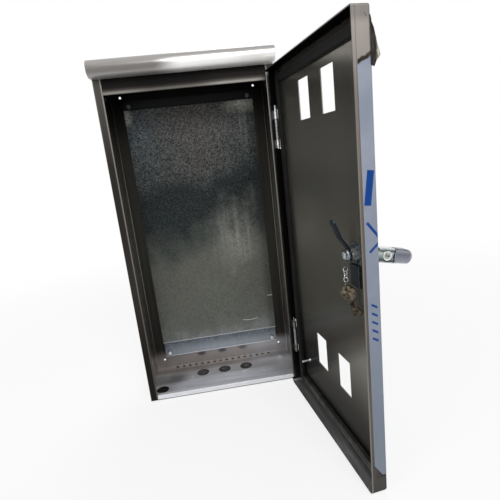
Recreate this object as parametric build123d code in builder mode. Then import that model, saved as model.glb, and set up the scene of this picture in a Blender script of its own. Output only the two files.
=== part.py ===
from build123d import *
from math import cos, radians, sin
import os

# A wall mounted stainless distribution box with a rain hood, its door standing open.
# Millimetres. X to the right, Y to the back, Z up. The origin is the middle of the body's base.

# Driving sizes of the body
body_width = 300.0
body_height = 600.0
body_depth = 125.0
sheet = 1.2
bend_radius = 2.4
rim_width = 14.0
hem_width = 6.0
hem_round = 0.9
seam = 0.2
overrun = 5.0
sill_height = 9.5
sill_ledge = 7.5
sill_round = 0.9
top_rim_height = 33.6
wall_hole_radius = 2.2
wall_hole_from_side = 20.0
wall_hole_from_end = 21.0

# Driving sizes of the floor's openings
knockout_count = 3
knockout_pitch = 47.0
knockout_depth_share = 0.616
knockout_radius = 12.5
knockout_score = 1.2
knockout_inner_radius = 8.0
knockout_tab_width = 2.4
vent_count = 16
vent_pitch = 13.8
vent_radius = 2.0
vent_from_back = 7.5
cable_hole_radius = 12.5
cable_hole_from_side = 20.5
cable_hole_from_front = 33.0

# Driving sizes of the rain hood
hood_roll_radius = 13.5
hood_roll_middle_out = 11.5
hood_drop = 8.5
hood_edge_round = 1.0

# Driving sizes of the mounting plate and its fixings
plate_width = 246.0
plate_sheet = 1.5
plate_bottom = 35.0
plate_top_margin = 31.0
plate_foot_flange = 37.0
plate_head_flange = 18.0
plate_step = 10.0
plate_standoff = 14.0
plate_bend_round = 1.4
plate_hole_radius = 3.3
plate_hole_from_side = 9.8
plate_hole_from_end = 10.3
stud_radius = 2.9
stud_past_nut = 3.0
spacer_radius = 5.0
spacer_bore_radius = 3.1
washer_radius = 5.2
washer_bore_radius = 3.15
washer_thickness = 1.4
nut_flats = 8.6
nut_height = 5.0
nut_bore_radius = 2.95

# Driving sizes of the hinges
open_angle = 97.57
hinge_from_side = 5.5
hinge_out = 14.5
hinge_low_from_foot = 97.2
hinge_high_from_head = 116.4
ear_radius = 3.3
ear_height = 13.0
ear_gap = 36.0
pin_radius = 2.0
pin_clearance = 0.05
pin_above = 8.5
pin_below = 1.5
pin_end_round = 0.6
knuckle_end_clearance = 0.3
leaf_reach = 6.0
ear_notch_side = 1.5
ear_notch_depth = 18.6

# Driving sizes of the door
door_side_reveal = 0.5
door_bottom = 1.0
door_head_room = 20.6
door_depth = 21.3
door_hinge_depth = 14.0
door_gap = 2.0
door_foot_corner = 8.0
door_head_corner = 2.0
window_width = 37.2
window_height = 56.2
window_pitch = 79.1
window_middle = -5.4
window_low_from_foot = 114.3
window_high_from_head = 62.6
window_corner = 0.8
gasket_from_edge = 10.0
gasket_width = 12.0
gasket_thickness = 6.0
gasket_round = 1.6
gasket_corner = 4.0
film_thickness = 0.2
film_flange_margin = 4.2
film_foot_margin = 26.0
film_torn_drop = 56.4
film_face_margin = 3.0
film_head_margin = 7.4
film_tear_run = 46.0

# Driving sizes of the lock
lock_from_edge = 49.5
lock_above_middle = 14.0
escutcheon_width = 30.0
escutcheon_thickness = 3.0
escutcheon_above = 22.0
escutcheon_below = 50.0
escutcheon_corner = 8.0
escutcheon_round = 1.0
boss_radius = 8.5
boss_length = 11.5
boss_clearance = 0.1
box_width = 24.0
box_plate = 1.5
box_depth = 4.6
box_above = 14.0
box_top_below = 12.5
box_below = 44.0
box_corner = 3.0
box_round = 1.2
ring_nut_flats = 22.0
ring_nut_height = 3.5
key_slot_width = 5.0
key_slot_height = 3.6
key_slot_inboard = 12.0
key_slot_above = 12.0

# Driving sizes of the spindle and the cam
spindle_radius = 4.0
spindle_clearance = 0.05
shoulder_radius = 6.4
shoulder_thickness = 1.8
shoulder_clearance = 0.3
square_side = 5.6
square_clearance = 0.1
thread_radius = 2.6
cam_sheet = 2.0
cam_hub_radius = 8.5
cam_width = 12.0
cam_clearance = 0.3
cam_joggle = 10.0
cam_tip_rise = 9.4
cam_bend_start = 8.5
cam_bend_end = 22.5
cam_bend_round = 3.0
cam_reach = 46.0
cam_tip_chamfer = 2.5
cam_washer_radius = 6.2
cam_washer_thickness = 0.8
cam_nut_flats = 9.0
cam_nut_height = 4.0
spindle_past_nut = 0.8

# Driving sizes of the handle and its key cylinder
droop_angle = 13.0
pivot_out = 13.0
pivot_drop = 2.2
tongue_thickness = 6.0
tongue_radius = 5.6
fork_clearance = 0.3
handle_length = 61.0
handle_thickness = 16.0
handle_height = 19.0
handle_root_radius = 7.4
handle_shoulder = 11.0
handle_round = 2.2
grip_start = 37.0
grip_waist = 0.8
waist_length = 2.0
fork_depth = 10.5
handle_pin_radius = 2.0
barrel_radius = 6.0
barrel_from_pivot = 24.0
barrel_proud = 0.6
plug_radius = 4.25
plug_clearance = 0.05
plug_length = 9.0
keyway_width = 1.4
keyway_length = 6.0
keyway_depth = 3.0
stop_slot_from_pivot = 33.6
stop_slot_width = 2.0
stop_slot_height = 6.0
stop_slot_depth = 2.0

# Driving sizes of the keys and their chain
wire_sides = 8
wire_radius = 0.6
loop_radius = 11.0
loop_room = 0.1
loop_place_share = 0.75
link_radius = 2.9
link_wire_radius = 0.65
link_count = 4
link_turn = 102.5
link_clearance = 0.06
key_ring_radius = 5.0
key_ring_wire_radius = 0.6
key_head_radius = 9.5
key_thickness = 2.0
key_hole_radius = 2.2
key_hole_edge = 2.0
key_blade_width = 6.0
key_blade_length = 22.0
key_bit_depth = 1.2
key_bit_pitch = 3.4
key_bit_count = 4
key_gap = 0.7
key_hang = 0.5
key_leans = (16.0, 27.0)

# Values that follow from the driving sizes
front_y = -body_depth / 2
back_y = body_depth / 2
side_x = body_width / 2
opening_width = body_width - 2 * rim_width
insert_width = opening_width - 2 * seam
inner_width = body_width - 2 * sheet
panel_front_y = front_y + 2 * sheet + seam
panel_back_y = back_y - sheet
panel_depth = panel_back_y - panel_front_y
panel_middle_y = (panel_back_y + panel_front_y) / 2
hinge_x = side_x - hinge_from_side
hinge_y = front_y - hinge_out
door_width = body_width - 2 * door_side_reveal
door_outer_y = front_y - door_gap - door_depth
door_inner_y = door_outer_y + sheet
door_edge_y = front_y - door_gap
door_top = body_height - door_head_room
door_height = door_top - door_bottom
door_middle_z = door_bottom + door_height / 2
lock_x = lock_from_edge - door_width / 2
lock_height = body_height / 2 + lock_above_middle
hinge_low = hinge_low_from_foot
hinge_high = body_height - hinge_high_from_head
window_low = door_bottom + window_low_from_foot
window_high = door_top - window_high_from_head
film_foot = door_bottom + film_foot_margin
film_head = door_top - film_head_margin
film_torn_height = door_top - film_torn_drop
swing_cos = cos(radians(open_angle))
swing_sin = sin(radians(open_angle))


def swung(x, y):
    """Plan position of a point of the shut door once the door stands open."""
    run = x - hinge_x
    rise = y - hinge_y
    return (hinge_x + run * swing_cos - rise * swing_sin, hinge_y + run * swing_sin + rise * swing_cos)


def heading(run, rise):
    """Plan direction of a direction of the shut door once the door stands open."""
    return (run * swing_cos - rise * swing_sin, run * swing_sin + rise * swing_cos, 0)


def door_level(z):
    """Level plane of the open door at height z, in the shut door's X and Y."""
    return Plane(origin=(*swung(0, 0), z), x_dir=heading(1, 0), z_dir=(0, 0, 1))


def door_front(y):
    """Upright plane of the open door at the shut door's depth y, facing outwards, in X and Z."""
    return Plane(origin=(*swung(0, y), 0), x_dir=heading(1, 0), z_dir=heading(0, -1))


def door_side(x):
    """Upright plane of the open door at the shut door's x, in Y and Z."""
    return Plane(origin=(*swung(x, 0), 0), x_dir=heading(0, 1), z_dir=heading(1, 0))


def handle_side(offset):
    """Plane along the drooping handle through its pivot, offset towards the door's free edge."""
    pivot = swung(lock_x - offset, door_outer_y - pivot_out)
    outward = heading(0, -cos(radians(droop_angle)))
    along = (outward[0], outward[1], -sin(radians(droop_angle)))
    return Plane(origin=(*pivot, lock_height - pivot_drop), x_dir=along, z_dir=heading(-1, 0))


# Wrapper: both sides, the back and the two upright front rims folded from one sheet
with BuildPart() as wrapper:
    with BuildSketch(Plane.XY) as wrapper_plan:
        RectangleRounded(body_width, body_depth, bend_radius)
        RectangleRounded(inner_width, body_depth - 2 * sheet, bend_radius - sheet, mode=Mode.SUBTRACT)
        with Locations((0, front_y)):
            Rectangle(opening_width, 2 * sheet, mode=Mode.SUBTRACT)
        hem_x = (opening_width + hem_width) / 2
        with Locations((-hem_x, front_y + 1.5 * sheet), (hem_x, front_y + 1.5 * sheet)):
            Rectangle(hem_width, sheet)
        rim_corners = wrapper_plan.vertices().filter_by(lambda v: abs(abs(v.X) - opening_width / 2) < seam)
        fillet(rim_corners, radius=hem_round)
    extrude(amount=body_height)
    with BuildSketch(Plane.XZ.offset(-back_y)) as wall_holes:
        with Locations((0, body_height / 2)):
            hole_span_x = body_width - 2 * wall_hole_from_side
            hole_span_z = body_height - 2 * wall_hole_from_end
            with GridLocations(hole_span_x, hole_span_z, 2, 2):
                Circle(wall_hole_radius)
    extrude(amount=sheet + overrun, mode=Mode.SUBTRACT)
wrapper.part.label = "wrapper"

# Floor panel with its front sill, scored knock outs, vent row and cable hole
with BuildPart() as floor_panel:
    with BuildSketch(Plane.XY) as floor_plan:
        with Locations((0, panel_middle_y)):
            Rectangle(inner_width, panel_depth)
        fillet(floor_plan.vertices().group_by(Axis.Y)[-1], radius=bend_radius - sheet)
    extrude(amount=sheet)
    with BuildSketch(Plane.YZ) as sill_section:
        with Locations((front_y, 0)):
            Rectangle(panel_front_y - front_y + sheet, sheet, align=(Align.MIN, Align.MIN))
            Rectangle(sheet, sill_height, align=(Align.MIN, Align.MIN))
        with Locations((front_y, sill_height)):
            Rectangle(sill_ledge, sheet, align=(Align.MIN, Align.MAX))
        fillet(sill_section.vertices().group_by(Axis.X)[0], radius=sill_round)
    extrude(amount=insert_width / 2, both=True)
    with BuildSketch(Plane.XY) as floor_cuts:
        with Locations((0, front_y + body_depth * knockout_depth_share)):
            with GridLocations(knockout_pitch, 0, knockout_count, 1):
                Circle(knockout_radius)
                Circle(knockout_radius - knockout_score, mode=Mode.SUBTRACT)
                Circle(knockout_inner_radius)
                Circle(knockout_inner_radius - knockout_score, mode=Mode.SUBTRACT)
                Rectangle(2 * knockout_radius, knockout_tab_width, mode=Mode.SUBTRACT)
        with Locations((0, back_y - vent_from_back)):
            with GridLocations(vent_pitch, 0, vent_count, 1):
                Circle(vent_radius)
        with Locations((cable_hole_from_side - side_x, front_y + cable_hole_from_front)):
            Circle(cable_hole_radius)
    extrude(amount=sheet, mode=Mode.SUBTRACT)
floor_panel.part.label = "floor_panel"

# Ceiling panel with the top rim folded down at its front and hemmed
with BuildPart() as ceiling_panel:
    with BuildSketch(Plane.XY.offset(body_height - sheet)) as ceiling_plan:
        with Locations((0, panel_middle_y)):
            Rectangle(inner_width, panel_depth)
        fillet(ceiling_plan.vertices().group_by(Axis.Y)[-1], radius=bend_radius - sheet)
    extrude(amount=sheet)
    with BuildSketch(Plane.YZ) as top_rim_section:
        with Locations((front_y, body_height)):
            Rectangle(panel_front_y - front_y + sheet, sheet, align=(Align.MIN, Align.MAX))
            Rectangle(sheet, top_rim_height, align=(Align.MIN, Align.MAX))
        with Locations((front_y, body_height - top_rim_height)):
            Rectangle(2 * sheet, hem_width, align=(Align.MIN, Align.MIN))
        fillet(top_rim_section.vertices().group_by(Axis.Y)[0], radius=hem_round)
    extrude(amount=insert_width / 2, both=True)
ceiling_panel.part.label = "ceiling_panel"

# Rain hood with a rolled front edge, welded on by its side skirts
hood_bottom = body_height - hood_drop
hood_top = hood_bottom + 2 * hood_roll_radius
roll_y = front_y - hood_roll_middle_out
roll_z = hood_bottom + hood_roll_radius
roll_inside = hood_roll_radius - sheet
with BuildPart() as rain_hood:
    with BuildSketch(Plane.YZ) as hood_outside:
        with BuildLine() as hood_outline:
            Polyline((roll_y, hood_top), (back_y, hood_top), (back_y, hood_bottom), (roll_y, hood_bottom))
            ThreePointArc((roll_y, hood_bottom), (roll_y - hood_roll_radius, roll_z), (roll_y, hood_top))
        make_face()
    extrude(amount=side_x + sheet, both=True)
    fillet(rain_hood.faces().sort_by(Axis.X)[-1].edges(), radius=hood_edge_round)
    fillet(rain_hood.faces().sort_by(Axis.X)[0].edges(), radius=hood_edge_round)
    with BuildSketch(Plane.YZ) as hood_inside:
        with BuildLine() as hood_hollow:
            hollow_low = hood_bottom - overrun
            hollow_high = hood_top - sheet
            Polyline((roll_y, hood_bottom + sheet), (front_y, hood_bottom + sheet), (front_y, hollow_low),
                     (back_y + overrun, hollow_low), (back_y + overrun, body_height),
                     (back_y - sheet, body_height), (back_y - sheet, hollow_high), (roll_y, hollow_high))
            ThreePointArc((roll_y, hollow_high), (roll_y - roll_inside, roll_z), (roll_y, hood_bottom + sheet))
        make_face()
    extrude(amount=side_x, both=True, mode=Mode.SUBTRACT)
rain_hood.part.label = "rain_hood"

# Mounting plate with a set back flange along its head and its foot
plate_back_y = panel_back_y - plate_standoff
plate_front_y = plate_back_y - plate_sheet
plate_face_y = plate_front_y - plate_step
plate_top = body_height - plate_top_margin
plate_hole_low = plate_bottom + plate_hole_from_end
plate_hole_high = plate_top - plate_hole_from_end
plate_hole_span_x = plate_width - 2 * plate_hole_from_side
plate_hole_span_z = plate_hole_high - plate_hole_low
plate_middle_z = (plate_hole_high + plate_hole_low) / 2
plate_bend_low = plate_bottom + plate_foot_flange
plate_bend_high = plate_top - plate_head_flange
with BuildPart() as mounting_plate:
    with BuildSketch(Plane.YZ) as plate_section:
        with BuildLine() as plate_outline:
            Polyline((plate_front_y, plate_bottom), (plate_back_y, plate_bottom),
                     (plate_back_y, plate_bend_low), (plate_face_y + plate_sheet, plate_bend_low),
                     (plate_face_y + plate_sheet, plate_bend_high), (plate_back_y, plate_bend_high),
                     (plate_back_y, plate_top), (plate_front_y, plate_top),
                     (plate_front_y, plate_bend_high + plate_sheet), (plate_face_y, plate_bend_high + plate_sheet),
                     (plate_face_y, plate_bend_low - plate_sheet), (plate_front_y, plate_bend_low - plate_sheet),
                     close=True)
        make_face()
        fillet(plate_section.vertices().group_by(Axis.X)[0], radius=plate_bend_round)
    extrude(amount=plate_width / 2, both=True)
    with BuildSketch(Plane.XZ.offset(-plate_back_y)) as plate_holes:
        with Locations((0, plate_middle_z)):
            with GridLocations(plate_hole_span_x, plate_hole_span_z, 2, 2):
                Circle(plate_hole_radius)
    extrude(amount=plate_sheet, mode=Mode.SUBTRACT)
mounting_plate.part.label = "mounting_plate"

# Four welded studs with their spacers, washers and nuts
washer_front_y = plate_front_y - washer_thickness
nut_front_y = washer_front_y - nut_height
with BuildPart() as plate_studs:
    with BuildSketch(Plane.XZ.offset(-panel_back_y)) as stud_plan:
        with Locations((0, plate_middle_z)):
            with GridLocations(plate_hole_span_x, plate_hole_span_z, 2, 2):
                Circle(stud_radius)
    extrude(amount=panel_back_y - nut_front_y + stud_past_nut)
plate_studs.part.label = "plate_studs"

with BuildPart() as plate_spacers:
    with BuildSketch(Plane.XZ.offset(-panel_back_y)) as spacer_plan:
        with Locations((0, plate_middle_z)):
            with GridLocations(plate_hole_span_x, plate_hole_span_z, 2, 2):
                Circle(spacer_radius)
                Circle(spacer_bore_radius, mode=Mode.SUBTRACT)
    extrude(amount=plate_standoff)
plate_spacers.part.label = "plate_spacers"

with BuildPart() as plate_washers:
    with BuildSketch(Plane.XZ.offset(-plate_front_y)) as washer_plan:
        with Locations((0, plate_middle_z)):
            with GridLocations(plate_hole_span_x, plate_hole_span_z, 2, 2):
                Circle(washer_radius)
                Circle(washer_bore_radius, mode=Mode.SUBTRACT)
    extrude(amount=washer_thickness)
plate_washers.part.label = "plate_washers"

with BuildPart() as plate_nuts:
    with BuildSketch(Plane.XZ.offset(-washer_front_y)) as nut_plan:
        with Locations((0, plate_middle_z)):
            with GridLocations(plate_hole_span_x, plate_hole_span_z, 2, 2):
                RegularPolygon(nut_flats / 2, 6, major_radius=False)
                Circle(nut_bore_radius, mode=Mode.SUBTRACT)
    extrude(amount=nut_height)
plate_nuts.part.label = "plate_nuts"

# Hinge ears welded to the right rim, two for each hinge
hinge_middles = (hinge_low, hinge_high)
ear_offset = (ear_gap + ear_height) / 2
pin_bore_radius = pin_radius + pin_clearance
with BuildPart() as hinge_ears:
    for hinge_z in hinge_middles:
        for ear_z in (hinge_z - ear_offset, hinge_z + ear_offset):
            with BuildSketch(Plane.XY.offset(ear_z - ear_height / 2)) as ear_plan:
                with Locations((hinge_x, hinge_y)):
                    Circle(ear_radius)
                    Rectangle(2 * ear_radius, hinge_out, align=(Align.CENTER, Align.MIN))
                    Circle(pin_bore_radius, mode=Mode.SUBTRACT)
            extrude(amount=ear_height)
hinge_ears.part.label = "hinge_ears"

pin_foot = ear_gap / 2 + ear_height + pin_below
pin_head = ear_gap / 2 + ear_height + pin_above
with BuildPart() as hinge_pins:
    for hinge_z in hinge_middles:
        with BuildSketch(Plane.XY.offset(hinge_z - pin_foot)) as pin_plan:
            with Locations((hinge_x, hinge_y)):
                Circle(pin_radius)
        extrude(amount=pin_foot + pin_head)
    chamfer(hinge_pins.edges().filter_by(GeomType.CIRCLE), length=pin_end_round)
hinge_pins.part.label = "hinge_pins"

# Door panel: a tray folded from one sheet, with four windows, clearance for the hinge ears
# and a lower flange on the hinge side
with BuildPart() as door_panel:
    with BuildSketch(door_front(door_outer_y)) as door_face:
        with Locations((0, door_middle_z)):
            Rectangle(door_width, door_height)
        fillet(door_face.vertices().group_by(Axis.Y)[0], radius=door_foot_corner)
        fillet(door_face.vertices().group_by(Axis.Y)[-1], radius=door_head_corner)
    extrude(amount=-door_depth)
    outer_face = door_panel.faces().filter_by(door_front(0)).sort_by(Axis.X)[-1]
    fillet(outer_face.edges(), radius=bend_radius)
    with BuildSketch(door_front(door_inner_y)) as door_hollow:
        with Locations((0, door_middle_z)):
            Rectangle(door_width - 2 * sheet, door_height - 2 * sheet)
        fillet(door_hollow.vertices().group_by(Axis.Y)[0], radius=door_foot_corner - sheet)
        fillet(door_hollow.vertices().group_by(Axis.Y)[-1], radius=door_head_corner - sheet)
    extrude(amount=-door_depth, mode=Mode.SUBTRACT)
    with BuildSketch(door_front(door_outer_y)) as door_cuts:
        with Locations((window_middle, (window_low + window_high) / 2)):
            with GridLocations(window_pitch, window_high - window_low, 2, 2):
                RectangleRounded(window_width, window_height, window_corner)
        with Locations((lock_x, lock_height)):
            Circle(boss_radius + boss_clearance)
        with Locations((lock_x + key_slot_inboard, lock_height + key_slot_above)):
            Rectangle(key_slot_width, key_slot_height)
    extrude(amount=-sheet, mode=Mode.SUBTRACT)
    for hinge_z in hinge_middles:
        with BuildSketch(door_side(door_width / 2 - sheet)) as ear_notches:
            with Locations((door_edge_y, hinge_z)):
                with GridLocations(0, 2 * ear_offset, 1, 2):
                    Rectangle(2 * ear_notch_depth, ear_height + 2 * ear_notch_side)
        extrude(amount=sheet + overrun, mode=Mode.SUBTRACT)
    with BuildSketch(door_side(door_width / 2 - sheet)) as hinge_side_cut:
        with Locations((door_outer_y + door_hinge_depth, door_bottom + door_foot_corner)):
            Rectangle(door_depth, door_height - door_foot_corner - door_head_corner, align=(Align.MIN, Align.MIN))
    extrude(amount=sheet + overrun, mode=Mode.SUBTRACT)
door_panel.part.label = "door_panel"

# Gasket strip glued round the inside of the door
with BuildPart() as door_gasket:
    with BuildSketch(door_front(door_inner_y)) as gasket_plan:
        gasket_outer_width = door_width - 2 * gasket_from_edge
        gasket_outer_height = door_height - 2 * gasket_from_edge
        with Locations((0, door_middle_z)):
            RectangleRounded(gasket_outer_width, gasket_outer_height, gasket_corner)
            Rectangle(gasket_outer_width - 2 * gasket_width, gasket_outer_height - 2 * gasket_width,
                      mode=Mode.SUBTRACT)
    extrude(amount=-gasket_thickness)
    gasket_top = door_gasket.faces().filter_by(door_front(0)).sort_by(Axis.X)[0]
    fillet(gasket_top.edges(), radius=gasket_round)
door_gasket.part.label = "door_gasket"

# Door leaves: a knuckle between each pair of ears, joined to the door's hinge side flange
knuckle_length = ear_gap - 2 * knuckle_end_clearance
flange_inside_x = door_width / 2 - sheet
with BuildPart() as hinge_leaves:
    for hinge_z in hinge_middles:
        with BuildSketch(door_level(hinge_z - knuckle_length / 2)) as leaf_plan:
            with Locations((hinge_x, hinge_y)):
                Circle(ear_radius)
                Rectangle(flange_inside_x - hinge_x, leaf_reach, align=(Align.MIN, Align.MAX))
                Circle(pin_bore_radius, mode=Mode.SUBTRACT)
        extrude(amount=knuckle_length)
hinge_leaves.part.label = "hinge_leaves"

# Protective film left on the door's outside, torn away at the head of the free edge
free_x = -door_width / 2
film_y = door_outer_y - film_thickness
film_x = free_x - film_thickness
film_bend = bend_radius + film_thickness
film_flange_y = door_edge_y - film_flange_margin
film_hinge_x = door_width / 2 - film_face_margin
bend_share = 1 - cos(radians(45))
with BuildPart() as door_film:
    with BuildSketch(door_level(film_foot)) as film_plan:
        with BuildLine() as film_outline:
            Polyline((free_x, door_outer_y + bend_radius), (free_x, film_flange_y), (film_x, film_flange_y),
                     (film_x, door_outer_y + bend_radius))
            ThreePointArc((film_x, door_outer_y + bend_radius),
                          (film_x + film_bend * bend_share, film_y + film_bend * bend_share),
                          (free_x + bend_radius, film_y))
            Polyline((free_x + bend_radius, film_y), (film_hinge_x, film_y), (film_hinge_x, door_outer_y),
                     (free_x + bend_radius, door_outer_y))
            ThreePointArc((free_x + bend_radius, door_outer_y),
                          (free_x + bend_radius * bend_share, door_outer_y + bend_radius * bend_share),
                          (free_x, door_outer_y + bend_radius))
        make_face()
    extrude(amount=film_torn_height - film_foot)
    with BuildSketch(door_front(door_outer_y)) as film_face:
        with BuildLine() as film_face_outline:
            film_left_x = free_x + bend_radius
            Polyline((film_left_x, film_torn_height - overrun), (film_left_x, film_torn_height),
                     (film_left_x + film_tear_run, film_head), (film_hinge_x, film_head),
                     (film_hinge_x, film_torn_height - overrun), close=True)
        make_face()
    extrude(amount=film_thickness)
    with BuildSketch(door_front(door_outer_y)) as film_cuts:
        with Locations((window_middle, (window_low + window_high) / 2)):
            with GridLocations(window_pitch, window_high - window_low, 2, 2):
                RectangleRounded(window_width, window_height, window_corner)
        with Locations((lock_x, lock_height + (escutcheon_above - escutcheon_below) / 2)):
            RectangleRounded(escutcheon_width + seam, escutcheon_above + escutcheon_below + seam, escutcheon_corner)
    extrude(amount=film_thickness, mode=Mode.SUBTRACT)
door_film.part.label = "door_film"

# Lock body: escutcheon outside the door and a bored boss through it
escutcheon_middle_z = lock_height + (escutcheon_above - escutcheon_below) / 2
escutcheon_face_y = door_outer_y - escutcheon_thickness
boss_end_y = door_outer_y + boss_length
with BuildPart() as lock_body:
    with BuildSketch(door_front(door_outer_y)) as escutcheon_plan:
        with Locations((lock_x, escutcheon_middle_z)):
            RectangleRounded(escutcheon_width, escutcheon_above + escutcheon_below, escutcheon_corner)
    extrude(amount=escutcheon_thickness)
    escutcheon_face = lock_body.faces().filter_by(door_front(0)).sort_by(Axis.X)[-1]
    fillet(escutcheon_face.edges(), radius=escutcheon_round)
    with BuildSketch(door_front(door_outer_y)) as boss_plan:
        with Locations((lock_x, lock_height)):
            Circle(boss_radius)
    extrude(amount=-boss_length)
    with BuildSketch(door_front(escutcheon_face_y)) as spindle_bore:
        with Locations((lock_x, lock_height)):
            Circle(spindle_radius + spindle_clearance)
    extrude(amount=-(boss_length + escutcheon_thickness), mode=Mode.SUBTRACT)
lock_body.part.label = "lock_body"

# Rear box of the lock, clamped to the inside of the door by the ring nut
box_face_y = door_inner_y + box_plate
with BuildPart() as lock_rear_box:
    with BuildSketch(door_front(door_inner_y)) as box_plan:
        with Locations((lock_x, lock_height + (box_above - box_below) / 2)):
            RectangleRounded(box_width, box_above + box_below, box_corner)
        with Locations((lock_x, lock_height)):
            Circle(boss_radius + boss_clearance, mode=Mode.SUBTRACT)
    extrude(amount=-box_plate)
    with BuildSketch(door_front(door_inner_y)) as box_body_plan:
        with Locations((lock_x, lock_height - (box_top_below + box_below) / 2)):
            RectangleRounded(box_width - 2 * sheet, box_below - box_top_below - 2 * sheet, box_corner - sheet)
    extrude(amount=-box_depth)
    box_lid = lock_rear_box.faces().filter_by(door_front(0)).sort_by(Axis.X)[0]
    fillet(box_lid.edges(), radius=box_round)
lock_rear_box.part.label = "lock_rear_box"

with BuildPart() as ring_nut:
    with BuildSketch(door_front(box_face_y)) as ring_nut_plan:
        with Locations((lock_x, lock_height)):
            RegularPolygon(ring_nut_flats / 2, 6, major_radius=False)
            Circle(boss_radius, mode=Mode.SUBTRACT)
    extrude(amount=-ring_nut_height)
ring_nut.part.label = "ring_nut"

# Spindle: a tongue for the handle outside, a shoulder, the shaft, a square and a threaded end
pivot_y = door_outer_y - pivot_out
shoulder_y = escutcheon_face_y - shoulder_clearance
cam_y = boss_end_y + cam_clearance
cam_washer_y = cam_y + cam_sheet
cam_nut_y = cam_washer_y + cam_washer_thickness
spindle_end_y = cam_nut_y + cam_nut_height + spindle_past_nut
with BuildPart() as spindle:
    with BuildSketch(door_front(shoulder_y)) as shaft_plan:
        with Locations((lock_x, lock_height)):
            Circle(spindle_radius)
    extrude(amount=-(boss_end_y - shoulder_y))
    with BuildSketch(door_front(shoulder_y)) as shoulder_plan:
        with Locations((lock_x, lock_height)):
            Circle(shoulder_radius)
    extrude(amount=shoulder_thickness)
    with BuildSketch(door_side(lock_x)) as tongue_section:
        with Locations((pivot_y, lock_height - pivot_drop)):
            Circle(tongue_radius)
            Rectangle(shoulder_y - pivot_y, 2 * tongue_radius, align=(Align.MIN, Align.CENTER))
            Circle(handle_pin_radius + pin_clearance, mode=Mode.SUBTRACT)
    extrude(amount=tongue_thickness / 2, both=True)
    with BuildSketch(door_front(boss_end_y)) as square_plan:
        with Locations((lock_x, lock_height)):
            Rectangle(square_side, square_side)
    extrude(amount=-(cam_washer_y - boss_end_y))
    with BuildSketch(door_front(cam_washer_y)) as thread_plan:
        with Locations((lock_x, lock_height)):
            Circle(thread_radius)
    extrude(amount=-(spindle_end_y - cam_washer_y))
spindle.part.label = "spindle"

# Cam: a bent steel strip that swings behind the left rim
cam_far_y = cam_y + cam_joggle
cam_tip_y = cam_far_y + cam_tip_rise
with BuildPart() as cam:
    with BuildSketch(door_side(lock_x)) as cam_section:
        with BuildLine() as cam_line:
            FilletPolyline((cam_y + cam_sheet / 2, lock_height), (cam_y + cam_sheet / 2, lock_height + cam_bend_start),
                           (cam_far_y + cam_sheet / 2, lock_height + cam_bend_end),
                           (cam_tip_y + cam_sheet / 2, lock_height + cam_reach), radius=cam_bend_round)
        trace(line_width=cam_sheet)
    extrude(amount=cam_width / 2, both=True)
    tip_face = cam.faces().sort_by(Axis.Z)[-1]
    tip_edges = tip_face.edges().sort_by(SortBy.LENGTH)[:2]
    chamfer(tip_edges, length=cam_tip_chamfer)
    with BuildSketch(door_front(cam_y)) as cam_hub_plan:
        with Locations((lock_x, lock_height)):
            Circle(cam_hub_radius)
    extrude(amount=-cam_sheet)
    with BuildSketch(door_front(cam_y)) as cam_square:
        with Locations((lock_x, lock_height)):
            Rectangle(square_side + square_clearance, square_side + square_clearance)
    extrude(amount=-cam_sheet, mode=Mode.SUBTRACT)
cam.part.label = "cam"

with BuildPart() as cam_washer:
    with BuildSketch(door_front(cam_washer_y)) as cam_washer_plan:
        with Locations((lock_x, lock_height)):
            Circle(cam_washer_radius)
            Circle(thread_radius + square_clearance, mode=Mode.SUBTRACT)
    extrude(amount=-cam_washer_thickness)
cam_washer.part.label = "cam_washer"

with BuildPart() as cam_nut:
    with BuildSketch(door_front(cam_nut_y)) as cam_nut_plan:
        with Locations((lock_x, lock_height)):
            RegularPolygon(cam_nut_flats / 2, 6, major_radius=False)
            Circle(thread_radius, mode=Mode.SUBTRACT)
    extrude(amount=-cam_nut_height)
cam_nut.part.label = "cam_nut"

# Handle: a forked grip that folds down on its pin
handle_half = handle_height / 2
dome_start = handle_length - handle_half
with BuildPart() as handle:
    with BuildSketch(handle_side(0)) as handle_section:
        Circle(handle_root_radius)
        Rectangle(handle_shoulder + overrun, 2 * handle_root_radius, align=(Align.MIN, Align.CENTER))
        with Locations((handle_shoulder, 0)):
            Rectangle(dome_start - handle_shoulder, handle_height, align=(Align.MIN, Align.CENTER))
        with Locations((dome_start, 0)):
            Circle(handle_half)
    extrude(amount=handle_thickness / 2, both=True)
    sides = handle.faces().filter_by(handle_side(0))
    fillet(sides.edges(), radius=handle_round)
    with BuildSketch(handle_side(0)) as waist_section:
        with Locations((grip_start, handle_half), (grip_start, -handle_half)):
            Rectangle(waist_length, 2 * grip_waist)
    extrude(amount=handle_thickness, both=True, mode=Mode.SUBTRACT)
    with BuildSketch(handle_side(0)) as fork_section:
        with Locations((fork_depth, 0)):
            Rectangle(handle_length, 2 * handle_height, align=(Align.MAX, Align.CENTER))
    extrude(amount=tongue_thickness / 2 + fork_clearance, both=True, mode=Mode.SUBTRACT)
    with BuildSketch(handle_side(0)) as handle_bores:
        Circle(handle_pin_radius)
        with Locations((barrel_from_pivot, 0)):
            Circle(barrel_radius)
    extrude(amount=handle_thickness, both=True, mode=Mode.SUBTRACT)
    with BuildSketch(handle_side(handle_thickness / 2)) as stop_slot:
        with Locations((stop_slot_from_pivot, 0)):
            Rectangle(stop_slot_width, stop_slot_height)
    extrude(amount=-stop_slot_depth, mode=Mode.SUBTRACT)
handle.part.label = "handle"

with BuildPart() as handle_pin:
    with BuildSketch(handle_side(0)) as handle_pin_plan:
        Circle(handle_pin_radius)
    extrude(amount=handle_thickness / 2, both=True)
handle_pin.part.label = "handle_pin"

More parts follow.
